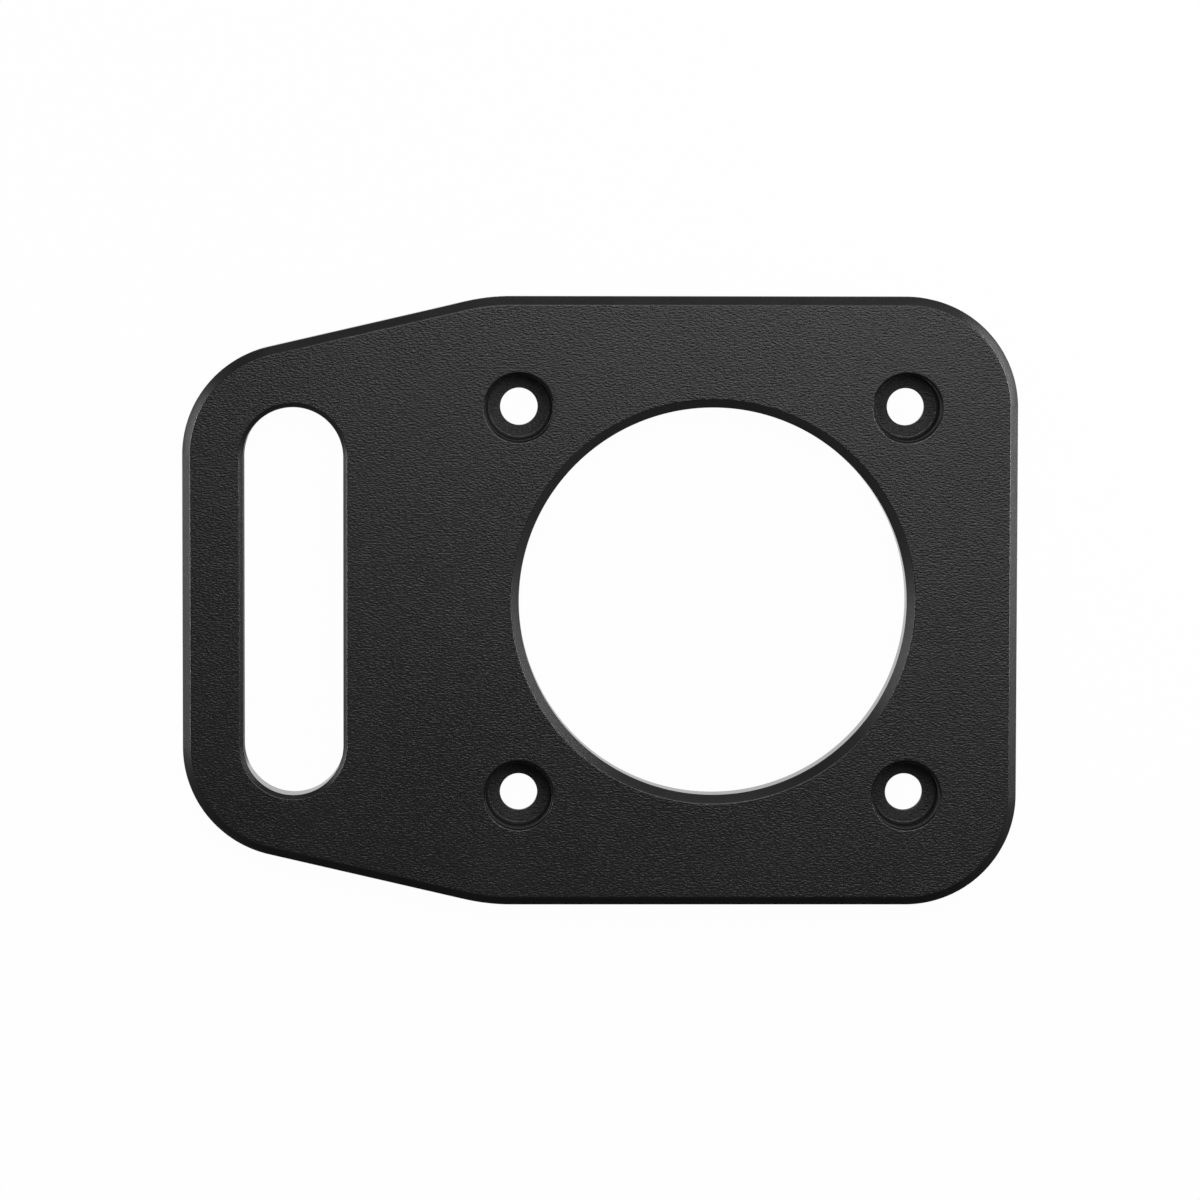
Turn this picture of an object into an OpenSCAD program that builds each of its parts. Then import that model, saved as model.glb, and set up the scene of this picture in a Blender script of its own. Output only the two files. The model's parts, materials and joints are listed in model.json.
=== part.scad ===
/* [Plate] */
// Length of the plate, from the slotted end to the straight end
plate_length = 100; // [96:0.5:130]
// Width of the plate at the bore
plate_width = 73; // [70:0.5:90]
// Thickness of the sheet that the plate is cut from
plate_thickness = 6; // [5.5:0.5:12]
// Radius of the four outer corners
corner_radius = 13.25; // [8:0.25:16]
// Chamfer around the outer edge, on both faces
edge_chamfer = 1; // [0.25:0.25:2]

/* [Slanted end] */
// Angle by which the long sides close in towards the slotted end, in degrees
slant_angle = 13; // [6:0.5:18]
// Distance from the slotted end to where the slanted sides begin
slant_length = 36.5; // [30:0.5:42]
// Radius that softens the bend between a straight and a slanted side
bend_radius = 25; // [10:1:40]

/* [Bore] */
// Diameter of the large bore
bore_diameter = 46.5; // [30:0.5:50]
// Distance from the straight end to the centre of the bore
bore_inset = 36.5; // [34:0.5:38]
// Chamfer at both ends of the bore
bore_chamfer = 1; // [0.25:0.25:2]

/* [Screw holes] */
// Spacing of the four screw holes, which stand in a square around the bore
hole_spacing = 46.5; // [44:0.5:52]
// Diameter of the screw holes
hole_diameter = 4.5; // [3:0.1:5.5]
// Diameter of the counterbores for the screw heads
head_diameter = 8; // [6.5:0.1:10]
// Depth of the counterbores, measured from the front face
head_depth = 4.6; // [2:0.1:5]
// Chamfer around the mouth of each counterbore
head_chamfer = 0.25; // [0.1:0.05:0.5]

/* [Slot] */
// Width of the slot
slot_width = 12; // [6:0.5:14]
// Overall length of the slot, round ends included
slot_length = 46.5; // [20:0.5:48]
// Distance from the slotted end to the middle line of the slot
slot_inset = 13.25; // [10:0.25:15]
// Chamfer at both ends of the slot
slot_chamfer = 0.5; // [0.25:0.25:1.5]

/* [Hidden] */
$fn = 96;

// How far a cut runs past the face that it leaves
overrun = 1;

// How far a rounded corner stands outside its true radius, so that the arc
// crosses the sides that it joins and doesn't only touch them
lap = 0.002;

// The origin is the centre of the bore, on the back face of the plate
straight_end = bore_inset;
slotted_end = bore_inset - plate_length;
side = plate_width / 2;
slant_x = slotted_end + slant_length;

// The straight sides: a point on each, and the direction that it faces
sides = [
    [straight_end, 0, 0],
    [slant_x, side, 90],
    [slant_x, side, 90 + slant_angle],
    [slotted_end, 0, 180],
    [slant_x, -side, 270 - slant_angle],
    [slant_x, -side, 270],
];

// The arc of each bend touches the straight side and the slanted side
bend_x = slant_x + bend_radius * tan(slant_angle / 2);
bend_y = side - bend_radius;

// The corners of the slotted end touch the slanted side and the end
slant_corner_x = slotted_end + corner_radius;
slant_drop = (slant_length - corner_radius) * tan(slant_angle);
slant_corner_y = side - slant_drop - corner_radius / cos(slant_angle);

// The corners of the straight end
end_corner_x = straight_end - corner_radius;
end_corner_y = side - corner_radius;

// The arcs: centre x, centre y, radius, first direction and last direction
arcs = [
    [end_corner_x, end_corner_y, corner_radius, 0, 90],
    [bend_x, bend_y, bend_radius, 90, 90 + slant_angle],
    [slant_corner_x, slant_corner_y, corner_radius, 90 + slant_angle, 180],
    [slant_corner_x, -slant_corner_y, corner_radius, 180, 270 - slant_angle],
    [bend_x, -bend_y, bend_radius, 270 - slant_angle, 270],
    [end_corner_x, -end_corner_y, corner_radius, 270, 360],
];

// Section of what is trimmed away outside an edge at a distance r, which
// leaves a chamfer at both faces
module trimming_section(r) {
    breadth = 2 * corner_radius;
    polygon([
        [r - edge_chamfer - overrun, -overrun],
        [r, edge_chamfer],
        [r, plate_thickness - edge_chamfer],
        [r - edge_chamfer - overrun, plate_thickness + overrun],
        [r + breadth, plate_thickness + overrun],
        [r + breadth, -overrun],
    ]);
}

// What is trimmed away along one straight side
module side_trimming(place) {
    translate([place[0], place[1], 0])
        rotate([0, 0, place[2]])
            rotate([90, 0, 0])
                linear_extrude(height = 3 * plate_length, center = true)
                    trimming_section(0);
}

// What is trimmed away around one rounded corner
module corner_trimming(arc) {
    translate([arc[0], arc[1], 0])
        rotate([0, 0, arc[3]])
            rotate_extrude(angle = arc[4] - arc[3])
                trimming_section(arc[2] + lap);
}

// The outline cut from a piece of sheet
module blank() {
    difference() {
        translate([slotted_end - overrun, -side - overrun, 0])
            cube([
                plate_length + 2 * overrun,
                plate_width + 2 * overrun,
                plate_thickness,
            ]);
        for (place = sides)
            side_trimming(place);
        for (arc = arcs)
            corner_trimming(arc);
    }
}

// Section of a through cut, chamfered at both faces
module opening_section(r, chamfer) {
    polygon([
        [0, -overrun],
        [r + chamfer + overrun, -overrun],
        [r, chamfer],
        [r, plate_thickness - chamfer],
        [r + chamfer + overrun, plate_thickness + overrun],
        [0, plate_thickness + overrun],
    ]);
}

// The large bore
module bore() {
    rotate_extrude()
        opening_section(bore_diameter / 2, bore_chamfer);
}

// One screw hole with the counterbore that takes the head of its screw
module screw_hole() {
    floor_z = plate_thickness - head_depth;
    hole_r = hole_diameter / 2;
    head_r = head_diameter / 2;
    rotate_extrude()
        polygon([
            [0, -overrun],
            [hole_r, -overrun],
            [hole_r, floor_z],
            [head_r, floor_z],
            [head_r, plate_thickness - head_chamfer],
            [head_r + head_chamfer + overrun, plate_thickness + overrun],
            [0, plate_thickness + overrun],
        ]);
}

// The slot: a half turn at each end, and the same section drawn between them
module slot() {
    slot_r = slot_width / 2;
    run = slot_length - slot_width;
    for (turn = [0, 180])
        rotate([0, 0, turn]) {
            translate([0, run / 2, 0])
                rotate_extrude(angle = 180)
                    opening_section(slot_r, slot_chamfer);
            rotate([90, 0, 0])
                linear_extrude(height = run, center = true)
                    opening_section(slot_r, slot_chamfer);
        }
}

module bracket_plate() {
    color("#2b2b2c")
        difference() {
            blank();
            bore();
            for (x = [-1, 1])
                for (y = [-1, 1])
                    translate([x * hole_spacing / 2, y * hole_spacing / 2, 0])
                        screw_hole();
            translate([slotted_end + slot_inset, 0, 0])
                slot();
        }
}

bracket_plate();
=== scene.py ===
import json
from math import cos, radians, sin, tan

import bmesh
import bpy
from mathutils import Matrix, Vector


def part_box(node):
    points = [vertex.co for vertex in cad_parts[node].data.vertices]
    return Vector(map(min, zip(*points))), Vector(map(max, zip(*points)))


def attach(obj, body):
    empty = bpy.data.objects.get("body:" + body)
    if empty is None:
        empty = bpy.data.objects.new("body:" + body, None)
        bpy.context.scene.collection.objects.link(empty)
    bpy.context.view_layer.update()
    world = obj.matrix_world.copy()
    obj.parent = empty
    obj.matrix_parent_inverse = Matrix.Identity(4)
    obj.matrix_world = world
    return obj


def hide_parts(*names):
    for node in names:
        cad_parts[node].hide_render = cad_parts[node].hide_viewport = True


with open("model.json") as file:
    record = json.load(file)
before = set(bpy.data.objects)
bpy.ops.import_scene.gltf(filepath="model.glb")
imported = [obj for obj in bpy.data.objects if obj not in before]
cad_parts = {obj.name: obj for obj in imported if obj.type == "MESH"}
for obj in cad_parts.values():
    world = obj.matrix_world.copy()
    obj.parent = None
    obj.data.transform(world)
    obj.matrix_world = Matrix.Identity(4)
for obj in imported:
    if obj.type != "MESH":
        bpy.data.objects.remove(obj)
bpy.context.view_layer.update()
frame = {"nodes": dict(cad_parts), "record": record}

mm = 0.001
touching = 0.001 * mm    # points closer than this are one
plateLow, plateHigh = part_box("bracket_plate")
plateMiddle = (plateLow + plateHigh) / 2
plateReach = (plateHigh - plateLow) / 2
mountSizes = {mount["name"]: mount["dims"] for mount in frame["record"]["mounts"]}
print("frame loaded:", sorted(frame["nodes"]))


def placed(name, data):
    thing = bpy.data.objects.new(name, data)
    bpy.context.scene.collection.objects.link(thing)
    return thing


def meshOf(bm, name):
    mesh = bpy.data.meshes.new(name)
    bm.to_mesh(mesh)
    bm.free()
    return mesh


def newMaterial(name):
    material = bpy.data.materials.new(name)
    material.use_nodes = True
    nodes = material.node_tree.nodes
    nodes.clear()
    return material, nodes, material.node_tree.links


def mapped(nodes, links, size, centre=(0, 0, 0)):    # Object coordinates, one unit for each size given
    place = nodes.new("ShaderNodeTexCoord")
    mapping = nodes.new("ShaderNodeMapping")
    mapping.inputs["Scale"].default_value = [1 / length for length in size]
    mapping.inputs["Location"].default_value = [-start / length for start, length in zip(centre, size)]
    links.new(place.outputs["Object"], mapping.inputs["Vector"])
    return mapping.outputs["Vector"]


def noise(nodes, links, size, detail, distortion=0.0):    # size is that of one fleck along x, y and z
    node = nodes.new("ShaderNodeTexNoise")
    node.inputs["Scale"].default_value = 1.0
    node.inputs["Detail"].default_value = detail
    node.inputs["Distortion"].default_value = distortion
    links.new(mapped(nodes, links, size), node.inputs["Vector"])
    return node.outputs["Fac"]


def spread(nodes, links, value, low, high, fromLow=0.3, fromHigh=0.7):    # noise lies mostly in 0.3 to 0.7
    node = nodes.new("ShaderNodeMapRange")
    node.inputs["From Min"].default_value = fromLow
    node.inputs["From Max"].default_value = fromHigh
    node.inputs["To Min"].default_value = low
    node.inputs["To Max"].default_value = high
    links.new(value, node.inputs["Value"])
    return node.outputs["Result"]


def calculated(nodes, links, operation, *values):    # each value is a socket or a plain number
    node = nodes.new("ShaderNodeMath")
    node.operation = operation
    for value, socket in zip(values, node.inputs):
        if isinstance(value, (int, float)):
            socket.default_value = value
        else:
            links.new(value, socket)
    return node.outputs["Value"]


def axesOf(nodes, links, vector):
    node = nodes.new("ShaderNodeSeparateXYZ")
    links.new(vector, node.inputs["Vector"])
    return node.outputs


def blended(nodes, links, factor, first, second):
    node = nodes.new("ShaderNodeMix")
    node.data_type = "RGBA"
    node.inputs["A"].default_value = (*first, 1)
    node.inputs["B"].default_value = (*second, 1)
    links.new(factor, node.inputs["Factor"])
    return node.outputs["Result"]


def bumped(nodes, links, height, distance, strength=1.0, under=None):
    node = nodes.new("ShaderNodeBump")
    node.inputs["Strength"].default_value = strength
    node.inputs["Distance"].default_value = distance
    links.new(height, node.inputs["Height"])
    if under is not None:
        links.new(under, node.inputs["Normal"])
    return node.outputs["Normal"]


def shadersMixed(nodes, links, factor, first, second):
    node = nodes.new("ShaderNodeMixShader")
    links.new(factor, node.inputs["Fac"])
    links.new(first, node.inputs[1])
    links.new(second, node.inputs[2])
    return node.outputs["Shader"]


def plasticShaded(nodes, links, look, roughness, normal):
    clouds = noise(nodes, links, look["cloud"], look["cloudDetail"])
    share = spread(nodes, links, clouds, 0, 1)
    shader = nodes.new("ShaderNodeBsdfPrincipled")
    shader.inputs["IOR"].default_value = look["ior"]
    out = nodes.new("ShaderNodeOutputMaterial")
    links.new(blended(nodes, links, share, look["dark"], look["light"]), shader.inputs["Base Color"])
    links.new(roughness, shader.inputs["Roughness"])
    links.new(normal, shader.inputs["Normal"])
    links.new(shader.outputs["BSDF"], out.inputs["Surface"])


skin = {    # what both grained finishes share
    "wrinkle": (0.40 * mm, 0.20 * mm, 0.40 * mm),    # size of one wrinkle of the moulded grain
    "wrinkleDetail": 1.0,
    "wrinkleBend": 0.1,                              # how far a wrinkle strays from straight
    "cloud": (11 * mm,) * 3,                         # size of the slow drift from dark to light
    "cloudDetail": 3.0,
    "dark": (0.0060, 0.0060, 0.0062),
    "light": (0.0090, 0.0090, 0.0092),
}
grainLook = {
    **skin,
    "name": "grainedFace",
    "depth": 0.058 * mm,
    "roughness": (0.31, 0.37),
    "ior": 1.42,
}
ridgeLook = {
    **skin,
    "name": "grainedRidge",    # where the grain runs out over the softened ridges
    "depth": 0.020 * mm,
    "roughness": (0.22, 0.28),
    "ior": 1.50,
}


def grainedMaterial(look):
    material, nodes, links = newMaterial(look["name"])
    ripple = noise(nodes, links, look["wrinkle"], look["wrinkleDetail"], look["wrinkleBend"])
    normal = bumped(nodes, links, ripple, look["depth"])
    roughness = spread(nodes, links, ripple, *look["roughness"])
    plasticShaded(nodes, links, look, roughness, normal)
    return material


machined = {    # what the cut finishes share, unless they say otherwise
    "markDetail": 1.0,
    "tickStrength": 0.6,    # of the ticks next to the speckle
    "cloud": (6 * mm,) * 3,
    "cloudDetail": 2.0,
    "dark": (0.0090, 0.0090, 0.0092),
    "light": (0.0130, 0.0130, 0.0133),
}
chamferLook = {
    **machined,
    "name": "cutChamfer",
    "speckle": (0.16 * mm,) * 3,
    "ticks": (0.5 * mm, 0.5 * mm, 3 * mm),      # faint marks across the chamfer
    "depth": 0.010 * mm,
    "roughness": (0.36, 0.44),
    "ior": 1.22,
}
wallLook = {
    **machined,
    "name": "cutWall",
    "speckle": (0.16 * mm,) * 3,
    "ticks": (3 * mm, 3 * mm, 0.2 * mm),        # marks of the cutter, level along the wall
    "depth": 0.004 * mm,
    "roughness": (0.17, 0.25),
    "ior": 1.5,
}
slotWallLook = {
    **wallLook,
    "name": "slotWall",
    "dulled": 0.48,                             # how much rougher the straight sides are
    "straight": (0.90, 0.99),                   # the normal's x where that begins and is full
}
# painted light: the counterbore floor gets lighter tones than the face and the other cut faces, standing
# in for light that the recess shades off
sunkFloorPaintedLightLook = {
    **machined,
    "name": "counterboreFloorPaintedLight",
    "speckle": (0.34 * mm, 0.20 * mm, 0.34 * mm),
    "ticks": (0.4 * mm, 0.4 * mm, 3 * mm),
    "depth": 0.090 * mm,
    "dark": (0.0170, 0.0170, 0.0173),
    "light": (0.0210, 0.0210, 0.0214),
    "roughness": (0.44, 0.52),
    "ior": 1.36,
}
# painted light: the counterbore wall gets lighter tones than the other cut walls, standing in for light
# inside the recess
sunkWallPaintedLightLook = {
    **machined,
    "name": "counterboreWallPaintedLight",
    "speckle": (0.2 * mm,) * 3,
    "ticks": (3 * mm, 3 * mm, 0.3 * mm),
    "depth": 0.004 * mm,
    "dark": (0.0180, 0.0180, 0.0184),
    "light": (0.0240, 0.0240, 0.0245),
    "roughness": (0.60, 0.70),
    "ior": 1.36,
}
# painted shade: the counterbore's mouth chamfer gets darker tones than the other chamfers, for the shade
# at the counterbore's rim
sunkChamferPaintedShadeLook = {
    **machined,
    "name": "counterboreChamferPaintedShade",
    "speckle": (0.2 * mm,) * 3,
    "ticks": (0.5 * mm, 0.5 * mm, 3 * mm),
    "depth": 0.002 * mm,
    "dark": (0.0050, 0.0050, 0.0051),
    "light": (0.0070, 0.0070, 0.0072),
    "roughness": (0.30, 0.36),
    "ior": 1.08,
}


def dulledSides(nodes, links, roughness, look):    # rougher where the wall looks along x
    place = nodes.new("ShaderNodeTexCoord")
    along = axesOf(nodes, links, place.outputs["Normal"])["X"]
    sideways = calculated(nodes, links, "ABSOLUTE", along)
    dulled = spread(nodes, links, sideways, 0, look["dulled"], *look["straight"])
    return calculated(nodes, links, "ADD", dulled, roughness)


def cutMaterial(look):
    material, nodes, links = newMaterial(look["name"])
    speckle = noise(nodes, links, look["speckle"], look["markDetail"])
    ticks = noise(nodes, links, look["ticks"], look["markDetail"])
    normal = bumped(nodes, links, speckle, look["depth"])
    normal = bumped(nodes, links, ticks, look["depth"], look["tickStrength"], normal)
    roughness = spread(nodes, links, speckle, *look["roughness"])
    if "dulled" in look:
        roughness = dulledSides(nodes, links, roughness, look)
    plasticShaded(nodes, links, look, roughness, normal)
    return material


cutLooks = (chamferLook, wallLook, sunkFloorPaintedLightLook, sunkWallPaintedLightLook, sunkChamferPaintedShadeLook, slotWallLook)
finishes = [grainedMaterial(look) for look in (grainLook, ridgeLook)]
finishes += [cutMaterial(look) for look in cutLooks]
finishPlace = {material.name: place for place, material in enumerate(finishes)}
print("finishes made:", len(finishes))

plateSize = {
    "thickness": plateHigh.z - plateLow.z,
    "halfWidth": plateHigh.y,
    "slottedEnd": plateLow.x,
    "straightEnd": plateHigh.x,
    "cornerRadius": 13.25 * mm,
    "chamfer": 1 * mm,
    "slant": 13,                     # degrees that the slotted end tapers by on each side
    "slantLength": 36.5 * mm,
    "bendRadius": 25 * mm,
    "boreRadius": mountSizes["main_bore"]["r_mm"] * mm,
    "boreChamfer": 1 * mm,
    "holeSpacing": mountSizes["screw_holes"]["spacing_x_mm"] * mm,
    "holeRadius": mountSizes["screw_holes"]["hole_r_mm"] * mm,
    "holeTurn": 0.5,                 # degrees, so that no two rims have points level
    "headRadius": 4 * mm,
    "headDepth": 4.6 * mm,
    "headChamfer": 0.25 * mm,
    "slotRadius": 6 * mm,
    "slotLength": 46.5 * mm,
    "slotInset": 13.25 * mm,
    "slotChamfer": 0.5 * mm,
    "faceRidge": (0.07 * mm, 3),     # how far a softened ridge reaches along each side, steps round
    "wallRidge": (0.04 * mm, 3),
    "headRidge": (0.04 * mm, 3),
    "headFillet": (0.45 * mm, 6),
    "mouthRidge": (0.07 * mm, 3),
    "apron": 2,                      # width of face that a section ends in, in reaches of its ridge
    "stepsPerDegree": 0.7,
    "fewestSteps": 6,
}


def section(points, ridges):    # an open line of edges with its corners softened
    bm = bmesh.new()
    verts = [bm.verts.new(point) for point in points]
    for pair in zip(verts, verts[1:]):
        bm.edges.new(pair)
    for vert, (reach, steps) in zip(verts[1:-1], ridges):
        bmesh.ops.bevel(
            bm, geom=[vert], offset=reach, offset_type="OFFSET", segments=steps,
            profile=0.5, affect="VERTICES", material=-1,
        )
    return bm, bm.verts[:] + bm.edges[:]


def chamferedSection(x, y, inward, chamfer, size):    # from the back face round to the front face
    top = size["thickness"]
    apron = size["faceRidge"][0] * size["apron"]
    points = [
        (x + inward * (chamfer + apron), y, 0),
        (x + inward * chamfer, y, 0),
        (x, y, chamfer),
        (x, y, top - chamfer),
        (x + inward * chamfer, y, top),
        (x + inward * (chamfer + apron), y, top),
    ]
    return section(points, [size[ridge] for ridge in ("faceRidge", "wallRidge", "wallRidge", "faceRidge")])


def turned(bm, geometry, centre, degrees, size):    # sweeps a section about a centre
    return bmesh.ops.spin(
        bm, geom=geometry, cent=(*centre, 0), axis=(0, 0, 1), angle=radians(degrees),
        steps=max(size["fewestSteps"], round(degrees * size["stepsPerDegree"])), use_merge=degrees == 360,
    )["geom_last"]


def drawn(bm, geometry, start, end):    # sweeps it straight on
    along = Vector((end[0] - start[0], end[1] - start[1], 0))
    return bmesh.ops.spin(
        bm, geom=geometry, cent=(0, 0, 0), axis=(0, 0, 1), angle=0, steps=1, dvec=along,
    )["geom_last"]


def onArc(centre, radius, degrees):
    turn = radians(degrees)
    return centre[0] + radius * cos(turn), centre[1] + radius * sin(turn)


def marked(bm, finish):    # finishOf goes by this mark
    for face in bm.faces:
        face.material_index = finishPlace[finish]


def outline(size):
    corner, bend, slant = size["cornerRadius"], size["bendRadius"], size["slant"]
    slantStart = size["slottedEnd"] + size["slantLength"]
    drop = (size["slantLength"] - corner) * tan(radians(slant))
    endCorner = (size["straightEnd"] - corner, size["halfWidth"] - corner)
    bendCentre = (slantStart + bend * tan(radians(slant / 2)), size["halfWidth"] - bend)
    slantCorner = (
        size["slottedEnd"] + corner,
        size["halfWidth"] - drop - corner / cos(radians(slant)),
    )
    upper = [    # centre, radius, first and last angle
        (endCorner, corner, 0, 90),
        (bendCentre, bend, 90, 90 + slant),
        (slantCorner, corner, 90 + slant, 180),
    ]
    lower = [
        ((x, -y), radius, 360 - last, 360 - first)
        for (x, y), radius, first, last in reversed(upper)
    ]
    arcs = upper + lower
    bm, geometry = chamferedSection(size["straightEnd"], endCorner[1], -1, size["chamfer"], size)
    for (centre, radius, first, last), following in zip(arcs, arcs[1:] + arcs[:1]):
        geometry = turned(bm, geometry, centre, last - first, size)
        geometry = drawn(bm, geometry, onArc(centre, radius, last), onArc(*following[:3]))
    return bm


def bore(size):
    bm, geometry = chamferedSection(size["boreRadius"], 0, 1, size["boreChamfer"], size)
    turned(bm, geometry, (0, 0), 360, size)
    return bm


def slot(size):
    x = size["slottedEnd"] + size["slotInset"]
    y = size["slotLength"] / 2 - size["slotRadius"]
    radius = size["slotRadius"]
    bm, geometry = chamferedSection(radius, 0, 1, size["slotChamfer"], size)
    bmesh.ops.translate(bm, verts=bm.verts, vec=(x, y, 0))
    geometry = turned(bm, geometry, (x, y), 180, size)
    geometry = drawn(bm, geometry, (x - radius, y), (x - radius, -y))
    geometry = turned(bm, geometry, (x, -y), 180, size)
    drawn(bm, geometry, (x + radius, -y), (x + radius, y))
    marked(bm, "slotWall")
    return bm


def screwHole(centre, size):
    top, hole, head = size["thickness"], size["holeRadius"], size["headRadius"]
    floor = top - size["headDepth"]
    mouth = head + size["headChamfer"]
    apron = size["mouthRidge"][0] * size["apron"]
    points = [
        (hole + apron, 0, 0),
        (hole, 0, 0),
        (hole, 0, floor),
        (head, 0, floor),
        (head, 0, top - size["headChamfer"]),
        (mouth, 0, top),
        (mouth + apron, 0, top),
    ]
    ridges = [size[ridge] for ridge in ("headRidge", "headRidge", "headFillet", "headRidge", "mouthRidge")]
    bm, geometry = section(points, ridges)
    turned(bm, geometry, (0, 0), 360, size)
    marked(bm, "counterboreFloorPaintedLight")
    turn = Matrix.Rotation(radians(size["holeTurn"]), 3, "Z")
    bmesh.ops.rotate(bm, verts=bm.verts, cent=(0, 0, 0), matrix=turn)
    bmesh.ops.translate(bm, verts=bm.verts, vec=(*centre, 0))
    return bm


def joined(bm, part):
    mesh = meshOf(part, "part")
    bm.from_mesh(mesh)
    bpy.data.meshes.remove(mesh)


def closeFace(bm, height, normal):    # fills between the outline and the openings
    rim = [
        edge for edge in bm.edges
        if len(edge.link_faces) == 1 and all(abs(vert.co.z - height) < touching for vert in edge.verts)
    ]
    bmesh.ops.triangle_fill(bm, use_beauty=True, use_dissolve=False, edges=rim, normal=normal)


facing = {                   # least size of the normal's z for each kind of face
    "level": 0.9999,
    "filletFoot": 0.95,      # the first step up from a counterbore's floor
    "ridge": 0.75,
    "mouthChamfer": 0.6,
    "chamfer": 0.3,
}


def finishOf(face, size):
    upright = abs(face.normal.z)
    height = face.calc_center_median().z
    top = size["thickness"]
    if upright > facing["level"] and not touching < height < top - touching:
        return "grainedFace"
    if upright > facing["ridge"] and height > top - size["faceRidge"][0]:
        return "grainedRidge"
    if face.material_index == finishPlace["counterboreFloorPaintedLight"]:
        return sunkFinishOf(upright, height > top / 2)
    if upright > facing["chamfer"]:
        return "cutChamfer"
    return "slotWall" if face.material_index == finishPlace["slotWall"] else "cutWall"


# finishes inside a counterbore: painted light on its floor and wall, painted shade on its mouth chamfer
def sunkFinishOf(upright, nearMouth):
    if upright > facing["level"]:
        return "counterboreFloorPaintedLight"
    if upright > facing["filletFoot"]:
        return "grainedFace"
    if upright > facing["mouthChamfer"] and nearMouth:
        return "counterboreChamferPaintedShade"
    return "counterboreWallPaintedLight"


def addPlate(size, materials):
    half = size["holeSpacing"] / 2
    holes = [screwHole((x, y), size) for x in (-half, half) for y in (-half, half)]
    bm = bmesh.new()
    for part in [outline(size), bore(size), slot(size)] + holes:
        joined(bm, part)
    bmesh.ops.remove_doubles(bm, verts=bm.verts, dist=touching)
    for vert in bm.verts:    # the turning leaves some a hair outside
        vert.co = [min(max(value, low), high) for value, low, high in zip(vert.co, plateLow, plateHigh)]
    closeFace(bm, 0, (0, 0, -1))
    closeFace(bm, size["thickness"], (0, 0, 1))
    bmesh.ops.recalc_face_normals(bm, faces=bm.faces)
    for face in bm.faces:
        face.material_index = finishPlace[finishOf(face, size)]
        face.smooth = True
    openEdges = sum(len(edge.link_faces) != 2 for edge in bm.edges)
    plate = placed("bracketPlate", meshOf(bm, "bracketPlate"))
    for material in materials:
        plate.data.materials.append(material)
    evened = plate.modifiers.new("evenedNormals", "WEIGHTED_NORMAL")
    evened.mode = "FACE_AREA"
    print("plate:", len(plate.data.polygons), "faces,", openEdges, "open edges")
    return plate


plate = addPlate(plateSize, finishes)
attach(plate, "root")
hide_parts("bracket_plate")

floorLook = {
    "size": 3.0,
    "drop": 0.02 * mm,              # a hair below the plate, so that the two don't share a plane
    "colour": (0.80, 0.80, 0.80),
    "bounced": (0.25, 0.25, 0.25),  # what the plate itself sees of it
    "whiteShare": 0.98,             # how much of what the camera sees of it is plain white
    "whiteEdge": (0.97, 1.0),       # where what the walls mirror fades out, as a share of the reach
}


def belowPlate(nodes, links, look):    # 1 within the plate's reach, which its walls mirror as white
    place = mapped(nodes, links, (plateReach.x, plateReach.y, 1), (plateMiddle.x, plateMiddle.y, 0))
    apart = axesOf(nodes, links, place)
    away = [calculated(nodes, links, "ABSOLUTE", apart[axis]) for axis in "XY"]
    farthest = calculated(nodes, links, "MAXIMUM", *away)
    return spread(nodes, links, farthest, 1, 0, *look["whiteEdge"])


def floorMaterial(look):
    material, nodes, links = newMaterial("paleFloor")
    paint = nodes.new("ShaderNodeBsdfDiffuse")
    white = nodes.new("ShaderNodeEmission")
    clear = nodes.new("ShaderNodeBsdfTransparent")
    side = nodes.new("ShaderNodeNewGeometry")
    rays = nodes.new("ShaderNodeLightPath").outputs
    tone = blended(nodes, links, rays["Is Camera Ray"], look["bounced"], look["colour"])
    links.new(tone, paint.inputs["Color"])
    mirrored = calculated(nodes, links, "MULTIPLY", rays["Is Glossy Ray"], belowPlate(nodes, links, look))
    seen = calculated(nodes, links, "MAXIMUM", rays["Is Camera Ray"], mirrored)
    share = calculated(nodes, links, "MULTIPLY", seen, look["whiteShare"])
    upperSide = shadersMixed(nodes, links, share, paint.outputs["BSDF"], white.outputs["Emission"])
    oneSided = shadersMixed(nodes, links, side.outputs["Backfacing"], upperSide, clear.outputs["BSDF"])
    out = nodes.new("ShaderNodeOutputMaterial")
    links.new(oneSided, out.inputs["Surface"])
    return material


def addFloor(look):
    bm = bmesh.new()
    bmesh.ops.create_grid(bm, x_segments=1, y_segments=1, size=look["size"] / 2)
    bmesh.ops.translate(bm, verts=bm.verts, vec=(0, 0, -look["drop"]))
    floor = placed("floor", meshOf(bm, "floor"))
    floor.data.materials.append(floorMaterial(look))


addFloor(floorLook)

lamps = {    # metres and watts
    "top": {"place": (0.026, 0.116, 0.34), "size": (0.28, 0.13), "power": 0.57},
    "back": {"place": (0.01, 0.30, 0.06), "size": (0.28, 0.07), "power": 0.20},
    "left": {"place": (-0.35, 0.070, 0.032), "size": (0.23, 0.056), "power": 1.12},
    "right": {"place": (0.17, 0.065, 0.016), "size": (0.18, 0.028), "power": 0.52},
}


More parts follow.
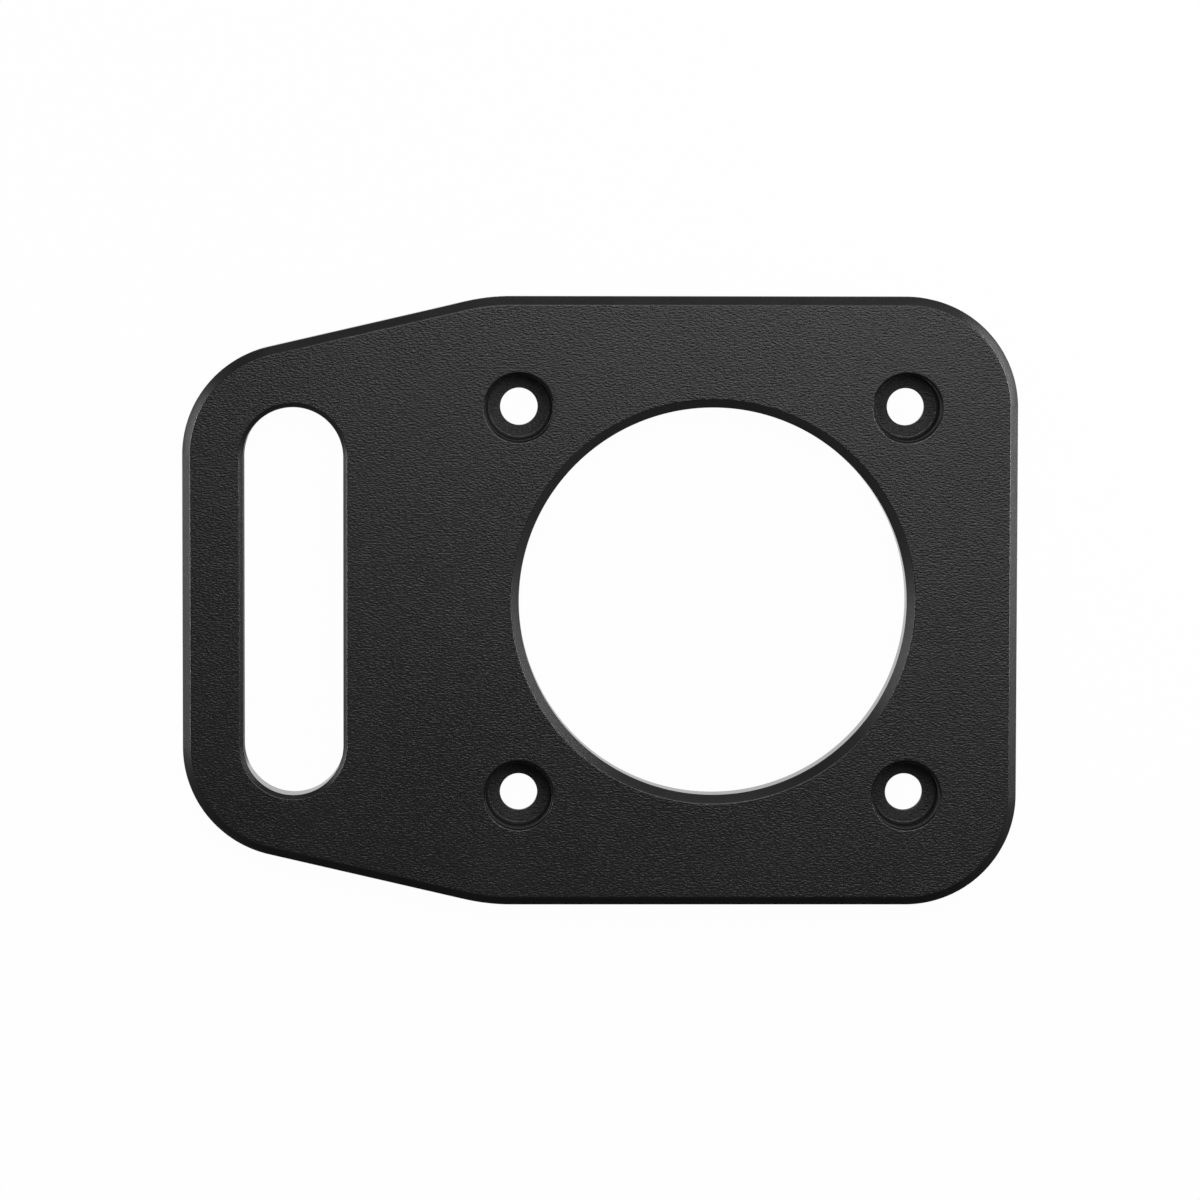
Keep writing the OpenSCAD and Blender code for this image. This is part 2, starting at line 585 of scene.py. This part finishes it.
def addLamp(name, setting, target):
    light = bpy.data.lights.new(name, "AREA")
    light.shape = "RECTANGLE"
    light.size, light.size_y = setting["size"]
    light.energy = setting["power"]
    lamp = placed(name, light)
    lamp.location = setting["place"]
    lamp.rotation_euler = (target - lamp.location).to_track_quat("-Z", "Y").to_euler()


for name, setting in lamps.items():
    addLamp(name, setting, Vector((plateMiddle.x, plateMiddle.y, plateHigh.z)))

skyLook = {
    "level": 0.07,
    "bandLevel": 0.26,       # a brighter ring part way up, for the views from the side
    "rise": (0.36, 0.52),    # height of the ring's lower and upper ends, as the direction's z
    "fall": (0.80, 0.92),
}


def addSky(look):
    world = bpy.data.worlds.new("studio")
    world.use_nodes = True
    nodes, links = world.node_tree.nodes, world.node_tree.links
    direction = nodes.new("ShaderNodeTexCoord").outputs["Generated"]
    height = axesOf(nodes, links, direction)["Z"]
    rise = spread(nodes, links, height, 0, 1, *look["rise"])
    fall = spread(nodes, links, height, 1, 0, *look["fall"])
    band = calculated(nodes, links, "MULTIPLY", rise, fall)
    level = spread(nodes, links, band, look["level"], look["bandLevel"], 0, 1)
    rays = nodes.new("ShaderNodeLightPath").outputs
    sky = nodes["Background"]
    sky.inputs["Color"].default_value = (1, 1, 1, 1)
    seen = calculated(nodes, links, "MAXIMUM", level, rays["Is Camera Ray"])    # white to the camera
    links.new(seen, sky.inputs["Strength"])
    bpy.context.scene.world = world


addSky(skyLook)

cameraSetting = {
    "place": (-0.025553, 0.048476, 0.738262),
    "turn": (-3.76936, -0.93328, 0.10421),    # degrees about x, y and z
    "lens": 184.01,                           # millimetres, like the sensor
    "sensor": 36,
    "nearest": 10 * mm,
}


def addCamera(setting):
    data = bpy.data.cameras.new("camera")
    data.lens = setting["lens"]
    data.sensor_width = setting["sensor"]
    data.clip_start = setting["nearest"]
    camera = placed("camera", data)
    camera.location = setting["place"]
    camera.rotation_euler = [radians(angle) for angle in setting["turn"]]
    bpy.context.scene.camera = camera


addCamera(cameraSetting)
bpy.context.scene.view_settings.view_transform = "Standard"
print("floor, lamps, sky and camera placed")
